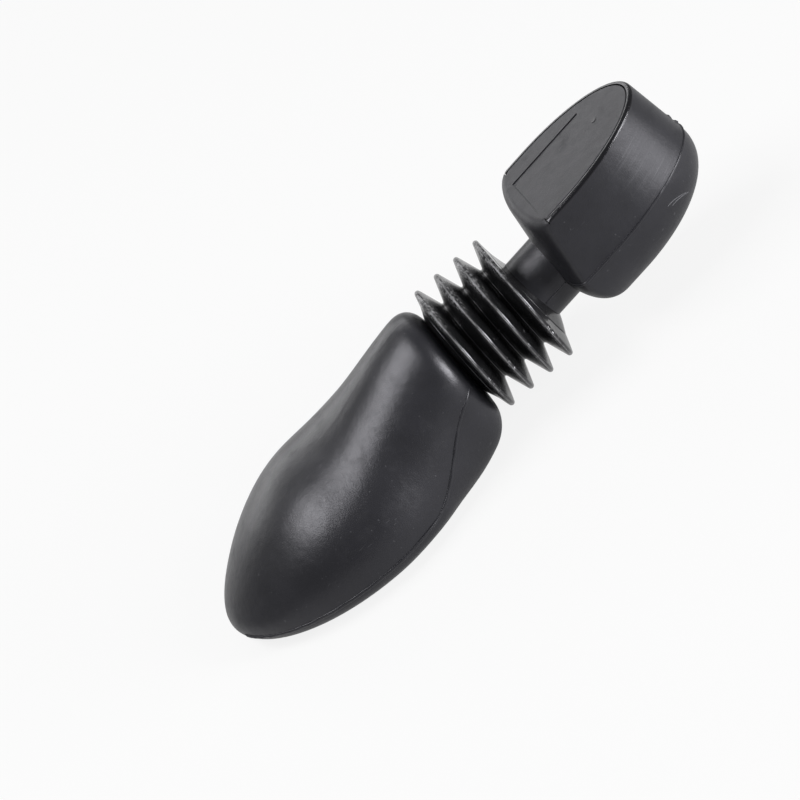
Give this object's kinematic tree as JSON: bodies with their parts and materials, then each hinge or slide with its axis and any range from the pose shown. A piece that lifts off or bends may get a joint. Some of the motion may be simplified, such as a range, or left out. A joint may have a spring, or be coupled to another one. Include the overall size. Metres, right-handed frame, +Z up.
{
  "type": "shoe stretcher",
  "caption": "Sprung plastic shoe stretcher: hollow toe form, sharp-folded bellows waist, round neck and D-shaped heel block with a flat cover plate.",
  "frame": {"origin": "on the floor plane of the flat sole, under the middle of the whole length, on the plane of symmetry", "axes": "+X from the toe tip to the heel block along the bellows axis, +Z up, Y across"},
  "size_m": [0.224, 0.078, 0.0651],
  "materials": {
    "shell_plastic": "satin moulded charcoal-black plastic with fine scuffs",
    "cover_plastic": "satin charcoal-black plastic, flat face with a blank sunk panel",
    "plug_plastic": "small black plastic plug",
    "bellows_plastic": "glossy black flexible plastic with sharp ridges"
  },
  "bodies": {
    "toe": {"toe_upper_shell": "shell_plastic", "toe_sole_shell": "shell_plastic", "bellows_front_collar": "bellows_plastic"},
    "front_flex": {"bellows_front_flex": "bellows_plastic"},
    "fold_1": {"bellows_fold_1": "bellows_plastic"},
    "fold_2": {"bellows_fold_2": "bellows_plastic"},
    "fold_3": {"bellows_fold_3": "bellows_plastic"},
    "fold_4": {"bellows_fold_4": "bellows_plastic"},
    "rear_flex": {"bellows_rear_flex": "bellows_plastic"},
    "heel": {"bellows_rear_collar": "bellows_plastic", "neck_tube": "shell_plastic", "heel_upper_shell": "shell_plastic", "heel_lower_shell": "shell_plastic", "heel_cover": "cover_plastic", "vent_plug": "plug_plastic"}
  },
  "joints": [
    {"name": "front_bend", "type": "hinge", "parent": "toe", "child": "front_flex", "pos_m": [0.00708, 0, 0.029], "axis": [0, -1, 0], "range_deg": [-6, 6], "stiffness_Nm_per_rad": 1.2, "deforming": ["bellows_front_flex"]},
    {"name": "front_sway", "type": "hinge", "parent": "front_flex", "child": "fold_1", "pos_m": [0.00918, 0, 0.029], "axis": [0, 0, 1], "range_deg": [-5, 5], "stiffness_Nm_per_rad": 1.2, "deforming": ["bellows_fold_1"]},
    {"name": "squeeze_1", "type": "slide", "parent": "fold_1", "child": "fold_2", "axis": [-1, 0, 0], "range_m": [-0.0013, 0.005], "stiffness_N_per_m": 1500, "deforming": ["bellows_fold_2"]},
    {"name": "squeeze_2", "type": "slide", "parent": "fold_2", "child": "fold_3", "axis": [-1, 0, 0], "range_m": [-0.0013, 0.005], "stiffness_N_per_m": 1500, "deforming": ["bellows_fold_3"]},
    {"name": "squeeze_3", "type": "slide", "parent": "fold_3", "child": "fold_4", "axis": [-1, 0, 0], "range_m": [-0.0013, 0.005], "stiffness_N_per_m": 1500, "deforming": ["bellows_fold_4"]},
    {"name": "rear_sway", "type": "hinge", "parent": "fold_4", "child": "rear_flex", "pos_m": [0.03683, 0, 0.029], "axis": [0, 0, 1], "range_deg": [-7.5, 7.5], "stiffness_Nm_per_rad": 0.8, "deforming": ["bellows_rear_flex"]},
    {"name": "rear_bend", "type": "hinge", "parent": "rear_flex", "child": "heel", "pos_m": [0.03903, 0, 0.029], "axis": [0, -1, 0], "range_deg": [-9, 9], "stiffness_Nm_per_rad": 0.8}
  ],
  "couplings": [
    {"joint": "rear_bend", "follows": "front_bend", "ratio": 1.5},
    {"joint": "rear_sway", "follows": "front_sway", "ratio": 1.5},
    {"joint": "squeeze_2", "follows": "squeeze_1", "ratio": 1},
    {"joint": "squeeze_3", "follows": "squeeze_1", "ratio": 1}
  ]
}
